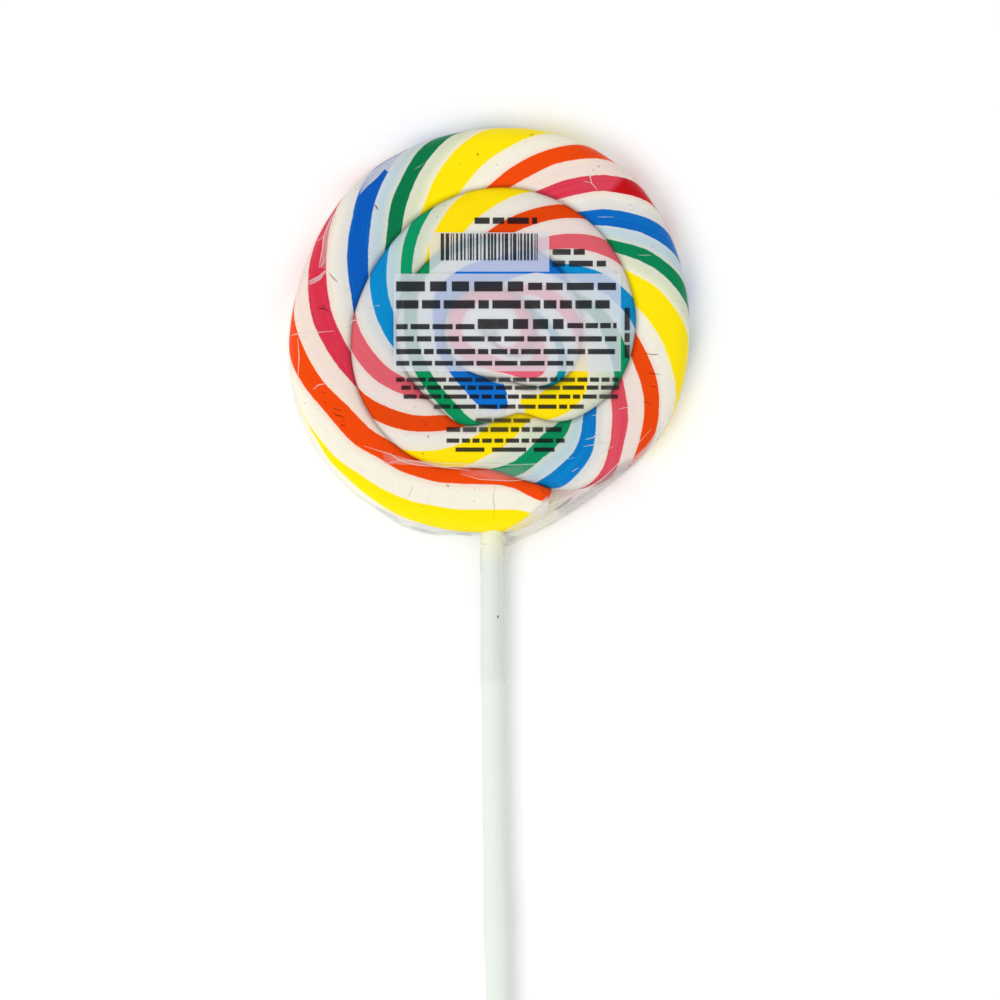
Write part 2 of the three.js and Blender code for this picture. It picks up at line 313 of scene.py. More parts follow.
# Print. Rows of plain bars stand for the small print: where a row starts and ends, the height of
# its middle, the height of its bars, and how long its bars are on average.
PANELS = ((-18.2, 24.7, -7.7, 10.7), (-11.4, 11.2, 11.1, 18.5))
PRINT_STEP = 0.35
PRINT_LIFT = 0.03
TALL_BARS = (-9.3, 9.1, 13.2, 18.3)
TALL_BAR_WIDTHS = (0.2, 0.3, 0.4, 0.65)
TALL_BAR_GAPS = (0.2, 0.3, 0.4)
PRINT_ROWS = (
    (-2.9, 8.9, 20.7, 1.2, 3.6), (11.8, 17.9, 14.8, 1.1, 3.4), (11.8, 21.9, 12.6, 1.1, 4.6),
    (-17.7, 6.3, 8.3, 1.9, 6), (7.2, 23.8, 8.3, 1.4, 4.6), (-17.7, 22.6, 4.9, 1.6, 4),
    (-17.7, -2.9, 0.7, 1, 3.4), (-2.3, 13.9, 1.2, 1.9, 5.6), (14.6, 23.9, 0.9, 1, 2.6),
    (-17.7, 23.9, -1.6, 1, 3.6), (-17.7, 23.6, -4, 1, 3.2), (-17.7, 15.8, -6.2, 0.9, 3.2),
    (-17.7, 24.3, -9.3, 0.8, 3), (-16.7, 24.3, -10.8, 0.8, 3), (-16.3, 24.1, -12.5, 0.8, 3),
    (-10.6, 17.7, -14.4, 0.8, 3), (-2.7, 7.6, -17, 0.8, 2.4), (-8.2, 13.5, -18.7, 0.9, 3),
    (-8.2, 14.1, -20.8, 0.8, 3), (-6.5, 12.2, -22.5, 0.8, 9),
)
UPRIGHT_ROW = (25.9, -5.2, 4.3, 1, 3)  # its middle, start, end, height and average length
STRAY_FLECK = (1.4, 1.62, -54.35, -53.85)
PRINT_SEED = 7
BAR_LENGTHS = (0.45, 1.5)  # shares of the row's average length, as are the next two
BAR_GAP = 0.16
SHORTEST_BAR = 0.4

# Stage. The light's place and size and half the floor's width are in metres.
VIEW_CENTRE = Vector((1.9, -32, MIDDLE_Z))
VIEW_WIDTH = 190
CAMERA_HEIGHT = 600
SENSOR_WIDTH = 36
SKY_STRENGTH = 0.85
KEY_PLACE = (-0.7, -0.6, 1.3)
KEY_SIZE = 1
KEY_POWER = 8.5
FLOOR_DROP = 0.02
FLOOR_HALF = 2


def linear(hex_colour):
    """A colour written as sRGB hex, as the linear colour that a shader takes."""
    shares = [int(hex_colour[i:i + 2], 16) / 255 for i in (1, 3, 5)]
    return [s / 12.92 if s <= 0.04045 else ((s + 0.055) / 1.055) ** 2.4 for s in shares] + [1]


def add(tree, kind, inputs=(), **settings):
    """A new node with its settings. inputs gives a socket's link or its value."""
    made = tree.nodes.new(kind)
    for name, value in settings.items():
        setattr(made, name, value)
    for socket, value in dict(inputs).items():
        if isinstance(value, bpy.types.NodeSocket):
            tree.links.new(value, made.inputs[socket])
        else:
            made.inputs[socket].default_value = value
    return made


def empty_material(name):
    material = bpy.data.materials.new(name)
    material.use_nodes = True
    material.node_tree.nodes.clear()
    return material, material.node_tree


# Shapes


def bump(value, by, at, over):
    return by * math.exp(-0.5 * ((value - at) / over) ** 2)


def clamped(value, low=0, high=1):
    return min(max(value, low), high)


def smoothstep(value, low, high):
    share = clamped((value - low) / (high - low))
    return share * share * (3 - 2 * share)


def mixed(start, end, share):
    return start + (end - start) * share


def crown(share, power=2 / CROWN_SQUARENESS):
    return math.copysign(abs(share) ** power, share)


def edge_radius(turn):
    """Radius of the rope's outer edge. Its inner edge is the outer edge one turn further on."""
    radius = DISC_RADIUS
    for by, at, over in TURN_STEPS:
        radius -= by / (1 + math.exp((at - turn) / over))
    for swell in SWELLS:
        radius += bump(turn, *swell)
    return max(radius, CURL_HOLE_RADIUS)


def rope_section(turn):
    """The radius of the rope's middle, its reach outwards and inwards, and half its height."""
    outer_edge = edge_radius(turn)
    inner_edge = edge_radius(turn + 360)
    middle_turn = max(turn, 0)
    middle = (edge_radius(middle_turn) + edge_radius(middle_turn + 360)) / 2
    half_width = (outer_edge - inner_edge) / 2
    tuck_out = TUCK * smoothstep(turn, *TUCK_TURNS)
    tuck_in = TUCK if inner_edge > CURL_HOLE_RADIUS else 0
    from_cut = turn - CUT_END_TURN
    slope = math.sin(math.pi / 2 * clamped(from_cut / CUT_SLANT_TURNS, SMALLEST_SHARE))
    blunt = math.sqrt(1 - (1 - clamped(from_cut / CUT_BLUNTNESS, SMALLEST_SHARE)) ** 2)
    outer = (outer_edge - middle + half_width * tuck_out) * slope ** CUT_SLANT_POWER
    inner = (middle - inner_edge + half_width * tuck_in) * blunt
    return middle, outer, inner, HALF_THICKNESS * blunt


def smooth_between(marks, at):
    """The value at this place, on a smooth curve through marks of a place and a value."""
    k = clamped(sum(at >= place for place, _ in marks) - 1, 1, len(marks) - 3)
    (before, low), (start, first), (end, second), (after, high) = marks[k - 1:k + 3]
    span = end - start
    share = clamped((at - start) / span)
    rise = (second - low) / (end - before) * span
    fall = (high - first) / (after - start) * span
    lift = share * (1 - share) * (rise * (1 - share) - fall * share)
    return mixed(first, second, smoothstep(share, 0, 1)) + lift


def twist_marks():
    """Marks of a turn and how often the rope is twisted up to it."""
    marks = list(LOOSE_START)
    for k, turn in enumerate(CROSSINGS, start=1):
        twists, stripe = divmod(k, len(STRIPES))
        marks.append((turn, twists + STRIPES[stripe][0]))
    return marks + list(LOOSE_FINISH)


TWIST = twist_marks()


def section_shares():
    """How far round the rope each direction of its section is, as a share of the way round,
    measured along the squarish section, from its underside over the inner side."""
    half_width = (DISC_RADIUS - edge_radius(360)) / 2
    points = []
    for k in range(SECTION_SIDES + 1):
        direction = math.tau * (k / SECTION_SIDES - 0.5)
        points.append(Vector((half_width * crown(math.sin(direction)),
                              HALF_THICKNESS * crown(math.cos(direction)))))
    way = [0]
    for start, end in zip(points, points[1:]):
        way.append(way[-1] + (end - start).length)
    return [length / way[-1] - 0.5 for length in way]


SECTION_SHARES = section_shares()


def lean(turn, share):
    """How far the stripes lean at this share of the section: less on the crown than below."""
    spread = CROWN_SPREAD * (1 + sum(bump(turn, *by) for by in LEANS))
    below = (abs(share) - CROWN_HALF) / (0.5 - CROWN_HALF)
    if below < 0:
        return share * spread
    return math.copysign(mixed(spread * CROWN_HALF, 0.5, below), share)


def bent_sheet(bm, columns, rows, place):
    """A flat grid, bent. place gets how far along and across a point is, from 0 to 1, and gives
    its place and its marks, which are the two numbers of each of its UV maps."""
    layers = bm.loops.layers.uv
    sheet = bmesh.ops.create_grid(
        bm, x_segments=columns, y_segments=rows, size=0.5, calc_uvs=True)
    for vertex in sheet["verts"]:
        point, *marks = place(vertex.co.x + 0.5, vertex.co.y + 0.5)
        vertex.co = Vector(point) * MM
        for name, mark in zip(UV_MAPS, marks):
            layer = layers.get(name) or layers.new(name)
            for loop in vertex.link_loops:
                loop[layer].uv = mark


def closed_tube(name, sides, steps, place):
    """A grid rolled into a tube and shut at both ends. place gets how far along a point is, its
    direction from the axis with 0 at the top, and 0 for the middle of an end or 1 for the wall."""
    bm = bmesh.new()

    def rolled(along, around):
        step = round(along * (steps + 2)) - 1
        reach = 0 if step in (-1, steps + 1) else 1
        return place(clamped(step / steps), math.tau * (around - 0.5), reach)

    bent_sheet(bm, steps + 2, sides, rolled)
    bmesh.ops.remove_doubles(bm, verts=bm.verts, dist=1e-4 * MM)
    bmesh.ops.recalc_face_normals(bm, faces=bm.faces)
    return shape(name, bm)


def shape(name, bm):
    """The bmesh as an object of the scene."""
    mesh = bpy.data.meshes.new(name)
    bm.to_mesh(mesh)
    bm.free()
    made = bpy.data.objects.new(name, mesh)
    bpy.context.scene.collection.objects.link(made)
    return made


def combined(base, others, operation):
    """The base with the others joined to it or cut from it. The others are used up."""
    tools = bpy.data.collections.new("tools")
    bpy.context.scene.collection.children.link(tools)
    for other in others:
        tools.objects.link(other)
    step = base.modifiers.new("step", "BOOLEAN")
    step.operation = operation
    step.operand_type = "COLLECTION"
    step.collection = tools
    step.solver = "MANIFOLD"
    graph = bpy.context.evaluated_depsgraph_get()
    result = bpy.data.meshes.new_from_object(base.evaluated_get(graph))
    base.modifiers.clear()
    base.data = result
    for other in others:
        bpy.data.objects.remove(other)
    bpy.data.collections.remove(tools)
    return base


def finish_piece(piece, material, sharp=None, replaced=None):
    piece.data.materials.clear()
    piece.data.materials.append(material)
    piece.data.shade_smooth()
    if sharp:
        piece.data.set_sharp_from_angle(angle=math.radians(sharp))
    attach(piece, "root")
    if replaced:
        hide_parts(replaced)


# Things laid on a surface


def surface_of(*pieces):
    """The surface of these pieces together, to lay things on."""
    bm = bmesh.new()
    for piece in pieces:
        bm.from_mesh(piece.data)
    tree = BVHTree.FromBMesh(bm)
    bm.free()
    return tree


def top_of(tree, x, y):
    """How high the surface lies here. The ray stands a little aside, clear of the mesh's edges."""
    above = Vector((x + ASIDE, y + ASIDE, 2 * DISC_THICKNESS)) * MM
    hit = tree.ray_cast(above, Vector((0, 0, -1)))[0]
    return None if hit is None else hit.z / MM


def laid_on(tree, x, y, lift):
    """This place on the surface, or the middle height where there is none."""
    top = top_of(tree, x, y)
    return (x, y, (MIDDLE_Z if top is None else top) + lift)


def on_line(points, share):
    at = share * (len(points) - 1)
    k = min(int(at), len(points) - 2)
    return Vector(points[k]).lerp(Vector(points[k + 1]), at - k)


def steps_along(points):
    length = sum((Vector(b) - Vector(a)).length for a, b in zip(points, points[1:]))
    return max(FEWEST_STEPS, round(length / STEP_ALONG))


def stroke(bm, tree, width, strong, points, lift, height=0):
    """A narrow strip laid on a surface along a line. It runs out to a point at both ends, and is
    strongest and highest along its middle."""
    def place(along, across):
        middle = on_line(points, along)
        way = on_line(points, min(along + 0.02, 1)) - on_line(points, max(along - 0.02, 0))
        aside = Vector((-way.y, way.x)).normalized() * width * (across - 0.5)
        taper = math.sin(math.pi * clamped(along, 0.03, 0.97)) ** 0.5
        crest = math.sin(math.pi * across)
        x, y = middle + aside * taper
        return laid_on(tree, x, y, lift + height * crest * taper), (strong * crest, 0)

    bent_sheet(bm, steps_along(points), STRIPS_ACROSS, place)


# Candy


def rope_stretch(name, start, end, steps, ease=1):
    """A stretch of the rope. Its marks hold the twist at each point and the turn of the coil, and
    how strongly painted groove shade darkens it."""
    twist = CORE_TWIST if start >= JOINT_TURN else TWIST

    def place(along, direction, reach):
        turn = mixed(start, end, along ** ease)
        middle, outer, inner, half_height = rope_section(turn)
        sideways = crown(math.sin(direction)) * reach
        up = crown(math.cos(direction)) * reach
        radius = middle + sideways * (outer if sideways > 0 else inner)
        angle = math.radians(turn)
        point = Vector((-radius * math.sin(angle), -radius * math.cos(angle),
                        MIDDLE_Z + up * half_height))
        point += noise.noise_vector(point / UNEVEN_OVER) * UNEVENNESS
        point.z = max(point.z, FILM)
        share = SECTION_SHARES[round((direction / math.tau + 0.5) * SECTION_SIDES)]
        twisted = smooth_between(twist, turn) - lean(turn, share)
        # Painted shade: the rope darkens towards the groove at its inner edge, and at its outer
        # edge where it is tucked under.
        dark = max(smoothstep(-sideways, *GROOVE_SHADE_INNER),
                   smoothstep(sideways, *GROOVE_SHADE_OUTER) * smoothstep(turn, *TUCK_TURNS))
        return point, (twisted, turn / 360), (dark, 0)

    return closed_tube(name, SECTION_SIDES, steps, place)


def curl_plug():
    """The tucked inner end of the rope, which closes the middle of the coil."""
    def place(along, direction, reach):
        lift = math.cos(math.pi * along)
        radius = CURL_PLUG_RADIUS * math.sin(math.pi * along) * reach
        z = MIDDLE_Z + lift * (CURL_PLUG_HEIGHT - MIDDLE_Z)
        point = (radius * math.sin(direction), radius * math.cos(direction), max(z, FILM))
        return point, (CORE_TWIST[-1][1], TUCKED_END_TURN / 360), (0, 0)

    return closed_tube("plug", CURL_PLUG_SIDES, CURL_PLUG_STEPS, place)


def stick_axis(y):
    share = (STICK_TIP_Y - y) / STICK_LENGTH
    tip, bend, end = STICK_BEND
    return mixed(mixed(tip, bend, share), mixed(bend, end, share), share)


def stick_radius(y):
    share = clamped((STICK_TIP_Y - y) / STICK_LENGTH)
    return STICK_RADIUS + STICK_RADIUS_GAIN * share + bump(y, *LOOSE_PAPER)


def round_stick(y, direction, radius):
    """A point this far from the stick's axis."""
    return (stick_axis(y) + radius * math.sin(direction), y,
            MIDDLE_Z + radius * math.cos(direction))


def bar_on_stick(name, from_y, to_y, steps, grow):
    """A bar round the stick's axis that is thicker than the stick by so much. Its marks say in
    which direction from the axis a point is, and how near to the wall."""
    def place(along, direction, reach):
        y = mixed(from_y, to_y, along)
        point = round_stick(y, direction, (stick_radius(y) + grow) * reach)
        return point, (direction / math.tau, y / STICK_LENGTH), (reach, 0)

    return closed_tube(name, STICK_SIDES, steps, place)


def candy_swirl():
    noise.seed_set(UNEVEN_SEED)
    stretches = [rope_stretch("cut_end", CUT_END_TURN, FULL_ROPE_TURN, CUT_END_STEPS, 2)]
    start = FULL_ROPE_TURN
    while start < TUCKED_END_TURN:
        end = min(start + STRETCH_TURN, TUCKED_END_TURN)
        if start < JOINT_TURN:
            end = min(end, JOINT_TURN)
        step = STEP_TURN if start < CURL_TURN else CURL_STEP_TURN
        stretches.append(rope_stretch("stretch", start, end, round((end - start) / step)))
        start = end
    candy = combined(stretches[0], [*stretches[1:], curl_plug()], "UNION")
    candy.name = "pulled_sugar_swirl"
    return candy


def within(tree, value, low, high):
    """1 where the value lies between two others, else 0."""
    past = add(tree, "ShaderNodeMath", {0: value, 1: low}, operation="GREATER_THAN").outputs[0]
    short = add(tree, "ShaderNodeMath", {0: value, 1: high}, operation="LESS_THAN").outputs[0]
    return add(tree, "ShaderNodeMath", {0: past, 1: short}, operation="MULTIPLY").outputs[0]


def shifted(tree, value, shifts):
    """The value, shifted by textures, each by so much from its darkest to its lightest."""
    for texture, by in shifts:
        off = add(tree, "ShaderNodeMath", {0: texture, 1: 0.5}, operation="SUBTRACT").outputs[0]
        value = add(tree, "ShaderNodeMath", {0: off, 1: by, 2: value},
                    operation="MULTIPLY_ADD").outputs[0]
    return value


def striped(tree, colour, twisted, mottle, stripes):
    """The colour under stripes of dyed sugar, which are clean-edged and bleed a little."""
    for middle, half_width, deep, light, bleed_strength, bleed_width in stripes:
        offset = add(tree, "ShaderNodeMath", {0: twisted, 1: middle}, operation="SUBTRACT")
        away = add(tree, "ShaderNodeMath", {0: offset.outputs[0], 1: 0.5},
                   operation="PINGPONG").outputs[0]
        bleed = add(tree, "ShaderNodeMapRange", {
            0: away, 1: half_width, 2: half_width + bleed_width, 3: bleed_strength, 4: 0,
        }, interpolation_type="SMOOTHSTEP")
        stripe = add(tree, "ShaderNodeMapRange", {
            0: away, 1: half_width - STRIPE_EDGE, 2: half_width + STRIPE_EDGE, 3: 1, 4: 0,
        }, interpolation_type="SMOOTHSTEP")
        cover = add(tree, "ShaderNodeMath", {0: stripe.outputs[0], 1: bleed.outputs[0]},
                    operation="MAXIMUM").outputs[0]
        tone = add(tree, "ShaderNodeMix", {0: mottle, 6: linear(deep), 7: linear(light)},
                   data_type="RGBA").outputs[2]
        colour = add(tree, "ShaderNodeMix", {0: cover, 6: colour, 7: tone},
                     data_type="RGBA").outputs[2]
    return colour


def pulled_sugar():
    """Pulled and twisted boiled sugar: opaque, satin, warm white with stripes of dyed sugar, dark
    specks, fine pits drawn as spots of painted shade, and painted shade in its grooves."""
    material, tree = empty_material("pulled_sugar_striped")
    place = add(tree, "ShaderNodeTexCoord").outputs["Object"]
    laid = add(tree, "ShaderNodeUVMap", uv_map=UV_MAPS[0]).outputs[0]
    parts = add(tree, "ShaderNodeSeparateXYZ", {0: laid})
    slow = add(tree, "ShaderNodeTexNoise", {"Vector": place, "Scale": 1 / (9 * MM),
                                            "Detail": 2}).outputs[0]
    # Strands of pulled sugar: 0.8 mm across and 12 mm long, at 40 mm round the rope.
    strands = add(tree, "ShaderNodeMapping", {"Vector": laid, "Scale": (40 / 0.8, 16, 1)})
    streaks = add(tree, "ShaderNodeTexNoise", {"Vector": strands.outputs[0], "Scale": 1,
                                               "Detail": 2}).outputs[0]
    fine = add(tree, "ShaderNodeTexNoise", {"Vector": place, "Scale": 1 / (0.9 * MM),
                                            "Detail": 3}).outputs[0]
    twisted = shifted(tree, parts.outputs[0], ((slow, 0.014), (fine, 0.006)))
    degrees = add(tree, "ShaderNodeMath", {0: parts.outputs[1], 1: 360},
                  operation="MULTIPLY").outputs[0]
    outer, inner = (
        add(tree, "ShaderNodeMapRange", {0: degrees, 1: WEDGE_TURNS[0], 2: WEDGE_TURNS[1],
                                         3: at_start, 4: at_end}).outputs[0]
        for at_start, at_end in (WEDGE_OUTER, WEDGE_INNER)
    )
    outside = within(tree, twisted, ROUND_BELOW, outer)
    inside = within(tree, twisted, inner, BETWEEN_STRIPES)
    bare = add(tree, "ShaderNodeMath", {0: outside, 1: inside}, operation="MAXIMUM").outputs[0]
    started = add(tree, "ShaderNodeMix", {0: bare, 2: twisted, 3: BETWEEN_STRIPES}).outputs[0]
    orange = STRIPES[1][0]
    wide = add(tree, "ShaderNodeMapRange", {
        0: degrees, 1: WIDE_ORANGE_TURNS[0], 2: WIDE_ORANGE_TURNS[1], 3: WIDE_ORANGE[0],
        4: WIDE_ORANGE[1],
    }).outputs[0]
    filled = within(tree, twisted, orange, wide)
    started = add(tree, "ShaderNodeMix", {0: filled, 2: started, 3: orange}).outputs[0]
    started = add(tree, "ShaderNodeMath", {0: started, 1: LAST_TWIST},
                  operation="MINIMUM").outputs[0]
    streaky = add(tree, "ShaderNodeMapRange", {0: streaks, 1: 0.2, 2: 0.8, 3: -0.25, 4: 0.25})
    paler = add(tree, "ShaderNodeMapRange", {0: degrees, 1: PALER_TURNS[0], 2: PALER_TURNS[1]})
    mottle = add(tree, "ShaderNodeMath", {0: streaky.outputs[0], 1: paler.outputs[0]},
                 operation="ADD", use_clamp=True).outputs[0]
    cloudy = add(tree, "ShaderNodeMath", {0: fine, 1: -0.9, 2: 0.45},
                 operation="MULTIPLY_ADD").outputs[0]
    cloudy = add(tree, "ShaderNodeMath", {0: cloudy, 1: mottle}, operation="ADD").outputs[0]
    white = add(tree, "ShaderNodeMix", {0: cloudy, 6: linear("#F4EEDD"), 7: linear("#E5E1D8")},
                data_type="RGBA").outputs[2]
    rope = striped(tree, striped(tree, white, started, mottle, TINTS), started, mottle, STRIPES)
    red = add(tree, "ShaderNodeMath", {0: twisted, 1: DEEP_RED[0], 2: STRIPES[2][1]},
              operation="COMPARE").outputs[0]
    deep = add(tree, "ShaderNodeMapRange", {0: degrees, 1: DEEP_RED[1], 2: DEEP_RED[1] + 2, 3: 0,
                                            4: red}).outputs[0]
    rope = add(tree, "ShaderNodeMix", {0: deep, 6: rope, 7: linear("#C40814")},
               data_type="RGBA").outputs[2]
    core = striped(tree, white, twisted, mottle, CORE_STRIPES)
    past = add(tree, "ShaderNodeMath", {0: degrees, 1: JOINT_TURN}, operation="GREATER_THAN")
    colour = add(tree, "ShaderNodeMix", {0: past.outputs[0], 6: rope, 7: core},
                 data_type="RGBA").outputs[2]
    ragged = shifted(tree, degrees, ((slow, 22), (fine, 3)))
    joint = add(tree, "ShaderNodeMath", {0: ragged, 1: JOINT_TURN, 2: JOINT_HALF},
                operation="COMPARE").outputs[0]
    colour = add(tree, "ShaderNodeMix", {0: joint, 6: colour, 7: white},
                 data_type="RGBA").outputs[2]
    # Specks, and pits drawn as spots of painted shade, one here and there.
    cells = add(tree, "ShaderNodeTexVoronoi", {"Vector": place, "Scale": 1 / (1.4 * MM)})
    speck_or_pit_shade = add(tree, "ShaderNodeMapRange", {0: cells.outputs["Distance"], 1: 0.1, 2: 0.2, 3: 1,
                                            4: 0}).outputs[0]
    draw = add(tree, "ShaderNodeSeparateXYZ", {0: cells.outputs["Color"]}).outputs[0]
    rare = add(tree, "ShaderNodeMapRange", {0: draw, 1: 0.5, 2: 1, 3: 0, 4: 0.3}).outputs[0]
    speck = add(tree, "ShaderNodeMath", {0: speck_or_pit_shade, 1: rare}, operation="MULTIPLY").outputs[0]
    colour = add(tree, "ShaderNodeMix", {0: speck, 6: colour, 7: linear("#5A5650")},
                 data_type="RGBA").outputs[2]
    # Painted shade in the grooves: the colour is multiplied towards grey-brown by the first number
    # of the second UV map.
    grooves = add(tree, "ShaderNodeUVMap", uv_map=UV_MAPS[1]).outputs[0]
    dark = add(tree, "ShaderNodeSeparateXYZ", {0: grooves}).outputs[0]
    shaded = add(tree, "ShaderNodeMix", {0: dark, 6: linear("#FFFFFF"), 7: linear("#8E8882")},
                 data_type="RGBA").outputs[2]
    colour = add(tree, "ShaderNodeMix", {0: 1, 6: colour, 7: shaded}, data_type="RGBA",
                 blend_type="MULTIPLY").outputs[2]
    relief = add(tree, "ShaderNodeBump", {"Height": fine, "Distance": 0.05 * MM,
                                          "Strength": 0.6})
    shader = add(tree, "ShaderNodeBsdfPrincipled", {
        "Base Color": colour, "Roughness": 0.5, "Specular IOR Level": 0.06,
        "Normal": relief.outputs[0],
    })
    add(tree, "ShaderNodeOutputMaterial", {0: shader.outputs[0]})
    return material


def cracked_sugar():
    """The dark of a hairline crack or a burnt speck in boiled sugar. The UV's first number says
    how dark."""
    material, tree = empty_material("cracks_in_boiled_sugar")
    laid = add(tree, "ShaderNodeUVMap", uv_map=UV_MAPS[0]).outputs[0]
    dark = add(tree, "ShaderNodeSeparateXYZ", {0: laid}).outputs[0]
    clear = add(tree, "ShaderNodeBsdfTransparent").outputs[0]
    stain = add(tree, "ShaderNodeBsdfDiffuse", {0: linear("#5A1810")}).outputs[0]
    crack = add(tree, "ShaderNodeMixShader", {0: dark, 1: clear, 2: stain}).outputs[0]
    add(tree, "ShaderNodeOutputMaterial", {0: crack})
    return material


def sugar_cracks(candy_tree):
    bm = bmesh.new()
    for crack in CRACKS:
        stroke(bm, candy_tree, *crack, CRACK_LIFT)
    return shape("sugar_cracks", bm)


# Stick


def rolled_paper():
    """Rolled white paper: matt, slightly waxy, with faint fibres that run along it, the edge of
    its last turn, its turns in rings on the end, and yellowish paper beside the candy."""
    material, tree = empty_material("rolled_white_paper")
    laid = add(tree, "ShaderNodeUVMap", uv_map=UV_MAPS[0]).outputs[0]
    way = add(tree, "ShaderNodeSeparateXYZ", {0: laid})
    near_wall = add(tree, "ShaderNodeUVMap", uv_map=UV_MAPS[1]).outputs[0]
    depth = add(tree, "ShaderNodeSeparateXYZ", {0: near_wall}).outputs[0]
    place = add(tree, "ShaderNodeTexCoord").outputs["Object"]
    fibres = add(tree, "ShaderNodeMapping", {"Vector": place, "Scale": (1, 0.12, 1)}).outputs[0]
    grain = add(tree, "ShaderNodeTexNoise", {"Vector": fibres, "Scale": 1 / (0.5 * MM),
                                             "Detail": 3}).outputs[0]
    colour = add(tree, "ShaderNodeMix", {0: grain, 6: linear("#E3E9E2"), 7: linear("#DBE3DB")},
                 data_type="RGBA").outputs[2]
    along = add(tree, "ShaderNodeSeparateXYZ", {0: place}).outputs[1]
    # Yellowish towards the end beside the candy.
    yellowish_near_candy = add(tree, "ShaderNodeMapRange", {0: along, 1: -45 * MM, 2: -40 * MM, 3: 0, 4: 0.7})
    colour = add(tree, "ShaderNodeMix", {0: yellowish_near_candy.outputs[0], 6: colour, 7: linear("#F2F0D0")},
                 data_type="RGBA").outputs[2]
    # The paper's edge winds slowly round the stick.
    wound = add(tree, "ShaderNodeMath", {0: way.outputs[1], 1: 0.12, 2: way.outputs[0]},
                operation="MULTIPLY_ADD").outputs[0]
    wobble = add(tree, "ShaderNodeMath", {0: grain, 1: 0.012, 2: wound},
                 operation="MULTIPLY_ADD").outputs[0]
    seam = add(tree, "ShaderNodeMath", {0: wobble, 1: PAPER_EDGE, 2: 0.004},
               operation="COMPARE").outputs[0]
    rings = add(tree, "ShaderNodeMath", {0: depth, 1: PAPER_TURNS}, operation="MULTIPLY")
    ring = add(tree, "ShaderNodeMath", {0: rings.outputs[0], 1: 1}, operation="MODULO").outputs[0]
    gap = add(tree, "ShaderNodeMath", {0: ring, 1: 0.25}, operation="LESS_THAN").outputs[0]
    inside = add(tree, "ShaderNodeMath", {0: depth, 1: 0.98}, operation="LESS_THAN").outputs[0]
    end_gap = add(tree, "ShaderNodeMath", {0: gap, 1: inside}, operation="MULTIPLY").outputs[0]
    line = add(tree, "ShaderNodeMath", {0: seam, 1: 0.14, 2: end_gap},
               operation="MULTIPLY_ADD").outputs[0]
    colour = add(tree, "ShaderNodeMix", {0: line, 6: colour, 7: linear("#A9AAA2")},
                 data_type="RGBA").outputs[2]
    relief = add(tree, "ShaderNodeBump", {"Height": grain, "Distance": 0.03 * MM,
                                          "Strength": 0.6})
    shader = add(tree, "ShaderNodeBsdfPrincipled", {
        "Base Color": colour, "Roughness": 0.6, "Specular IOR Level": 0.3,
        "Normal": relief.outputs[0],
    })
    add(tree, "ShaderNodeOutputMaterial", {0: shader.outputs[0]})
    return material


def paper_stick():
    steps = round(STICK_LENGTH / STICK_STEP)
    return bar_on_stick("rolled_paper_stick", STICK_TIP_Y, STICK_END_Y, steps, 0)


# Wrapper


def clear_film():
    """Thin clear polypropylene film: almost nothing but its gloss, milky where it is folded or
    creased, in part as a painted highlight, and tinted darker as painted shade. The UV says how
    milky and how much painted shade."""
    material, tree = empty_material("clear_polypropylene_film")
    laid = add(tree, "ShaderNodeUVMap", uv_map=UV_MAPS[0]).outputs[0]
    milky, painted_shade, _ = add(tree, "ShaderNodeSeparateXYZ", {0: laid}).outputs
    place = add(tree, "ShaderNodeTexCoord").outputs["Object"]
    crumple = add(tree, "ShaderNodeTexNoise", {"Vector": place, "Scale": 1 / (3 * MM),
                                               "Detail": 3}).outputs[0]
    relief = add(tree, "ShaderNodeBump", {"Height": crumple, "Distance": 0.2 * MM,
                                          "Strength": 0.4}).outputs[0]
    # Painted shade: the clear film is tinted grey where the UV's second number says so.
    shade_tint = add(tree, "ShaderNodeMix", {0: painted_shade, 6: linear("#FFFFFF"), 7: linear("#8C9C9C")},
               data_type="RGBA").outputs[2]
    clear = add(tree, "ShaderNodeBsdfTransparent", {0: shade_tint}).outputs[0]
    gloss = add(tree, "ShaderNodeBsdfGlossy", {"Roughness": 0.15, "Normal": relief}).outputs[0]
    edge = add(tree, "ShaderNodeFresnel", {"IOR": 1.3, "Normal": relief}).outputs[0]
    shine = add(tree, "ShaderNodeMath", {0: edge, 1: 0.2}, operation="MINIMUM").outputs[0]
    bare = add(tree, "ShaderNodeMixShader", {0: shine, 1: clear, 2: gloss}).outputs[0]
    scatter = linear("#F4F4F3")
    back = add(tree, "ShaderNodeBsdfDiffuse", {0: scatter, "Normal": relief}).outputs[0]
    through = add(tree, "ShaderNodeBsdfTranslucent", {0: scatter, "Normal": relief}).outputs[0]
    milk = add(tree, "ShaderNodeMixShader", {0: 0.4, 1: back, 2: through}).outputs[0]
    film = add(tree, "ShaderNodeMixShader", {0: milky, 1: bare, 2: milk}).outputs[0]
    add(tree, "ShaderNodeOutputMaterial", {0: film})
    return material


def outline_radius(tree, angle):
    """How far the candy reaches from the middle in this direction."""
    far = DISC_RADIUS * 2
    direction = Vector((-math.sin(angle), -math.cos(angle), 0))
    start = (direction * far + Vector((0, 0, MIDDLE_Z))) * MM
    hit = tree.ray_cast(start, -direction)
    return far - hit[3] / MM


def fold_radius(angle):
    """How far the film's loose folds reach in this direction, or nothing where there are none."""
    direction = Vector((-math.sin(angle), -math.cos(angle)))
    for edge in FOLD_EDGES:
        for (x0, y0), (x1, y1) in zip(edge, edge[1:]):
            side_0 = direction.x * y0 - direction.y * x0
            side_1 = direction.x * y1 - direction.y * x1
            if side_0 * side_1 <= 0 and direction.x * x0 + direction.y * y0 > 0:
                share = side_0 / (side_0 - side_1)
                return Vector((mixed(x0, x1, share), mixed(y0, y1, share))).length
    return 0


def highest_near(candy_tree, x, y):
    steps = (-CURL_SPAN, 0, CURL_SPAN)
    return max(top_of(candy_tree, x + i, y + j) for i in steps for j in steps)


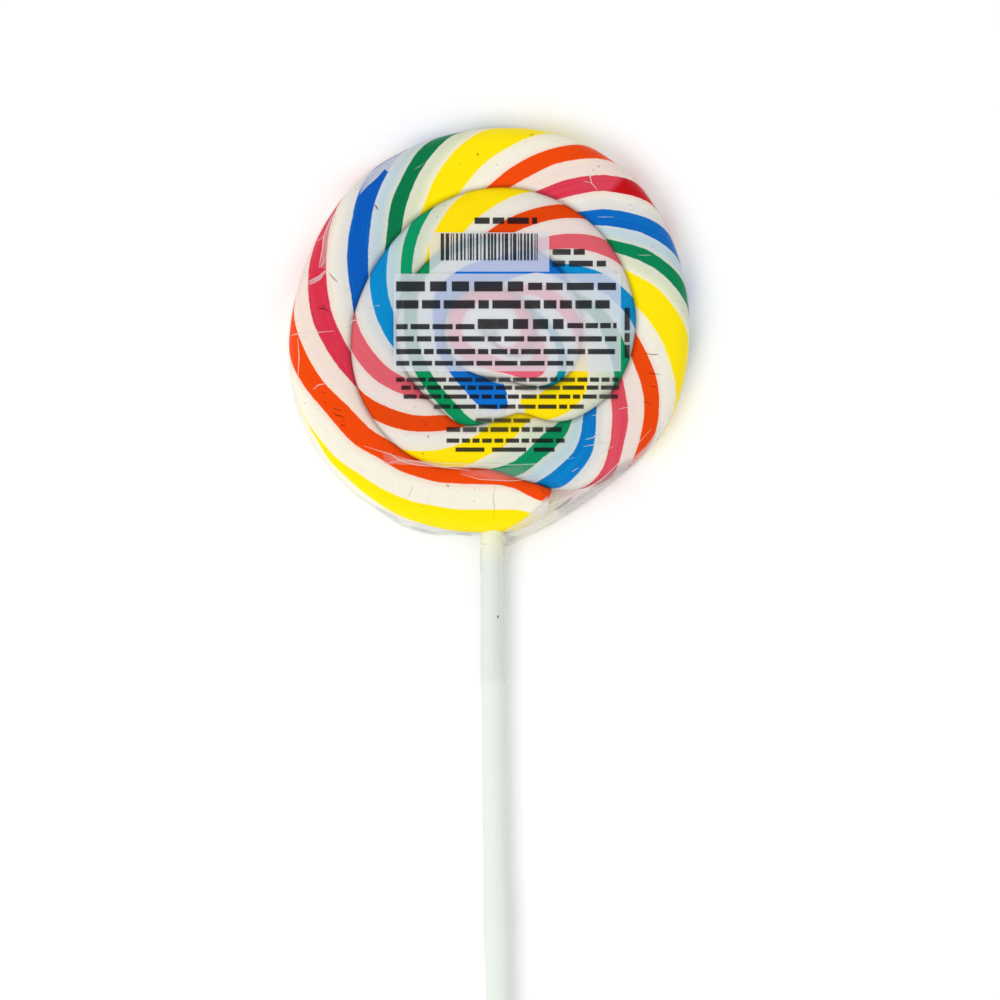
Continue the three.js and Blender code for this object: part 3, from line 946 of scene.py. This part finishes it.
def film_cover(candy_tree):
    """The film round the disc, with its fold."""
    step = math.tau / FILM_SIDES
    bare = [outline_radius(candy_tree, k * step) for k in range(FILM_SIDES)]
    beside = range(-SNUG_SIDES, SNUG_SIDES + 1)
    snug = [max(bare[(k + j) % FILM_SIDES] for j in beside) for k in range(FILM_SIDES)]
    reach = [max(snug[k] + 2 * FILM, fold_radius(k * step)) for k in range(FILM_SIDES)]
    for _ in range(SMOOTHINGS):
        reach = [
            max((reach[k - 1] + reach[k] + reach[(k + 1) % FILM_SIDES]) / 3, snug[k] + FILM)
            for k in range(FILM_SIDES)
        ]
    rows = 2 * FILM_TOP_ROWS + FILM_RIM_ROWS
    top_share = FILM_TOP_ROWS / rows

    def place(along, direction, reach_share):
        k = round((direction / math.tau) * FILM_SIDES) % FILM_SIDES
        radius = reach[k]
        spare = clamped((radius - snug[k] - SLACK) / SLACK_WIDTH)
        power = mixed(2 / CROWN_SQUARENESS, PINCH, spare)
        flat = snug[k] - SHOULDER
        if along < top_share:
            out, up = flat * along / top_share, 1
        elif along > 1 - top_share:
            out, up = flat * (1 - along) / top_share, -1
        else:
            bend = math.pi * (along - top_share) / (1 - 2 * top_share)
            out = flat + (radius - flat) * crown(math.sin(bend), power)
            up = crown(math.cos(bend), power)
        x, y = -out * math.sin(direction), -out * math.cos(direction)
        z = max(MIDDLE_Z + up * HALF_THICKNESS + (FILM if up > 0 else 0), 0)
        if up > 0:
            at_curl = out < CURL_PLUG_RADIUS
            below = highest_near(candy_tree, x, y) if at_curl else top_of(candy_tree, x, y)
            if below is not None:
                top = below + FILM
                z = max(mixed(z, top, FOLLOW), top)
        start, full = FOLD_MILKY_PAST
        milky = FOLD_MILKY * smoothstep(out, snug[k] + start, snug[k] + full)
        return (x, y, z), (milky, 0)

    return closed_tube("clear_wrapper", FILM_SIDES, rows, place)


def film_sleeve():
    """The end of the wrapper round the stick, lightly pleated, with a ragged edge."""
    def place(along, direction, reach):
        way = Vector((math.sin(direction), math.cos(direction), 0))
        ragged = SLEEVE_RAGGED * noise.noise(way) * reach
        y = mixed(SLEEVE_TOP_Y, SLEEVE_END_Y + ragged, along)
        pleat = SLEEVE_PLEAT * noise.noise(way * 3 + Vector((0, 0, y / PLEAT_LENGTH)))
        point = round_stick(y, direction, (stick_radius(y) + SLEEVE_GAP + pleat) * reach)
        milky = SLEEVE_MILKY * (1 + noise.noise(way * 2 + Vector((0, 0, y / SLEEVE_CLOUD))))
        return point, (milky, 0)

    return closed_tube("sleeve", STICK_SIDES, SLEEVE_STEPS, place)


def veil(bm, tree, milky, painted_shade, one_side, other_side):
    """A stretch of folded film between two lines: milky in part as a painted highlight, and
    darkened as painted shade.
    """
    def place(along, across):
        x, y = on_line(one_side, along).lerp(on_line(other_side, along), across)
        soft = math.sin(math.pi * clamped(along, 0.02, 0.98)) ** 0.4
        return laid_on(tree, x, y, FILM), (milky * soft, painted_shade * soft)

    bent_sheet(bm, steps_along(one_side), STRIPS_ACROSS, place)


# Folded film, sheets of painted shade, and creases whose milky white is partly a painted glint.
def film_folds_glints_and_shade(film_tree):
    bm = bmesh.new()
    for stretch in VEILS:
        veil(bm, film_tree, *stretch)
    for fold in CREASES_AND_GLINTS:
        stroke(bm, film_tree, *fold, FILM, CREASE_HEIGHT)
    return shape("film_folds_glints_and_shade", bm)


# Print


def ink(name, colour, cover):
    """Printing ink on film. Its cover is how much of the light it stops."""
    material, tree = empty_material(name)
    clear = add(tree, "ShaderNodeBsdfTransparent").outputs[0]
    shader = add(tree, "ShaderNodeBsdfPrincipled", {
        "Base Color": linear(colour), "Roughness": 0.5, "Specular IOR Level": 0.1,
    }).outputs[0]
    laid = add(tree, "ShaderNodeMixShader", {0: cover, 1: clear, 2: shader}).outputs[0]
    add(tree, "ShaderNodeOutputMaterial", {0: laid})
    return material


def patch(bm, tree, x0, x1, y0, y1):
    """A rectangle of ink laid on the film, or on the ink that is there."""
    def place(along, across):
        return laid_on(tree, mixed(x0, x1, along), mixed(y0, y1, across), PRINT_LIFT), (0, 0)

    bent_sheet(bm, math.ceil((x1 - x0) / PRINT_STEP), math.ceil((y1 - y0) / PRINT_STEP), place)


def bars_between(start, end, mean, draw):
    """Where each bar of a row starts and stops. They are as uneven as the words of a line."""
    gap = mean * BAR_GAP
    at = start
    while at < end - gap:
        stop = min(at + mean * draw.uniform(*BAR_LENGTHS), end)
        if end - stop < mean * SHORTEST_BAR:
            stop = end
        yield at, stop
        at = stop + gap


def printed_panels(film_tree):
    bm = bmesh.new()
    for panel in PANELS:
        patch(bm, film_tree, *panel)
    return shape("printed_panels", bm)


def printed_bars(print_tree):
    bm = bmesh.new()
    draw = random.Random(PRINT_SEED)
    for start, end, middle, height, mean in PRINT_ROWS:
        for x0, x1 in bars_between(start, end, mean, draw):
            patch(bm, print_tree, x0, x1, middle - height / 2, middle + height / 2)
    middle, start, end, height, mean = UPRIGHT_ROW
    for y0, y1 in bars_between(start, end, mean, draw):
        patch(bm, print_tree, middle - height / 2, middle + height / 2, y0, y1)
    patch(bm, print_tree, *STRAY_FLECK)
    x, end, y0, y1 = TALL_BARS
    while x < end:
        wide = draw.choice(TALL_BAR_WIDTHS)
        patch(bm, print_tree, x, min(x + wide, end), y0, y1)
        x += wide + draw.choice(TALL_BAR_GAPS)
    return shape("printed_bars", bm)


# Stage


def pale_floor():
    bm = bmesh.new()
    bmesh.ops.create_grid(bm, x_segments=1, y_segments=1, size=FLOOR_HALF)
    bmesh.ops.translate(bm, verts=bm.verts, vec=(0, 0, -FLOOR_DROP * MM))
    floor = shape("floor", bm)
    material, tree = empty_material("pale_floor")
    shader = add(tree, "ShaderNodeBsdfPrincipled", {
        "Base Color": linear("#FBFBFB"), "Roughness": 0.9, "Specular IOR Level": 0.1,
    })
    add(tree, "ShaderNodeOutputMaterial", {0: shader.outputs[0]})
    floor.data.materials.append(material)


def camera():
    data = bpy.data.cameras.new("camera")
    data.sensor_width = SENSOR_WIDTH
    data.lens = SENSOR_WIDTH * CAMERA_HEIGHT / VIEW_WIDTH
    made = bpy.data.objects.new("camera", data)
    made.location = (VIEW_CENTRE + Vector((0, 0, CAMERA_HEIGHT))) * MM
    bpy.context.scene.collection.objects.link(made)
    bpy.context.scene.camera = made


def key_light():
    data = bpy.data.lights.new("key", "AREA")
    data.shape = "DISK"
    data.size = KEY_SIZE
    data.energy = KEY_POWER
    made = bpy.data.objects.new("key", data)
    made.location = KEY_PLACE
    made.rotation_euler = (-Vector(KEY_PLACE)).to_track_quat("-Z", "Y").to_euler()
    made.visible_glossy = False
    bpy.context.scene.collection.objects.link(made)


def white_room():
    """A white room for soft even light. What is glossy shows a dark ceiling and pale walls."""
    world = bpy.data.worlds.new("white_room")
    world.use_nodes = True
    tree = world.node_tree
    tree.nodes.clear()
    way = add(tree, "ShaderNodeTexCoord").outputs["Generated"]
    up = add(tree, "ShaderNodeSeparateXYZ", {0: way}).outputs[2]
    walls = add(tree, "ShaderNodeMapRange", {0: up, 1: 0.2, 2: 0.95, 3: 0.9, 4: 0.03}).outputs[0]
    glossy = add(tree, "ShaderNodeLightPath").outputs["Is Glossy Ray"]
    strength = add(tree, "ShaderNodeMix", {0: glossy, 2: SKY_STRENGTH, 3: walls}).outputs[0]
    sky = add(tree, "ShaderNodeBackground", {0: linear("#FFFFFF"), 1: strength})
    add(tree, "ShaderNodeOutputWorld", {0: sky.outputs[0]})
    bpy.context.scene.world = world


camera()
white_room()
key_light()
bpy.context.scene.view_settings.view_transform = "Standard"
pale_floor()
candy = candy_swirl()
candy_tree = surface_of(candy)
socket = bar_on_stick("socket", STICK_TIP_Y, STICK_END_Y, SOCKET_STEPS, SOCKET_GAP)
combined(candy, [socket], "DIFFERENCE")
finish_piece(candy, pulled_sugar(), SHARP_ANGLE, "candy_swirl")
finish_piece(sugar_cracks(candy_tree), cracked_sugar())
finish_piece(paper_stick(), rolled_paper(), SHARP_ANGLE, "stick")
film = clear_film()
wrapper = combined(film_cover(candy_tree), [film_sleeve()], "UNION")
film_tree = surface_of(wrapper)
finish_piece(wrapper, film, None, "wrapper")
finish_piece(film_folds_glints_and_shade(film_tree), film)
panels = printed_panels(film_tree)
finish_piece(panels, ink("white_ink", "#E8EEF8", 0.5))
bars = printed_bars(surface_of(wrapper, panels))
finish_piece(bars, ink("black_ink", "#14171C", 0.8))
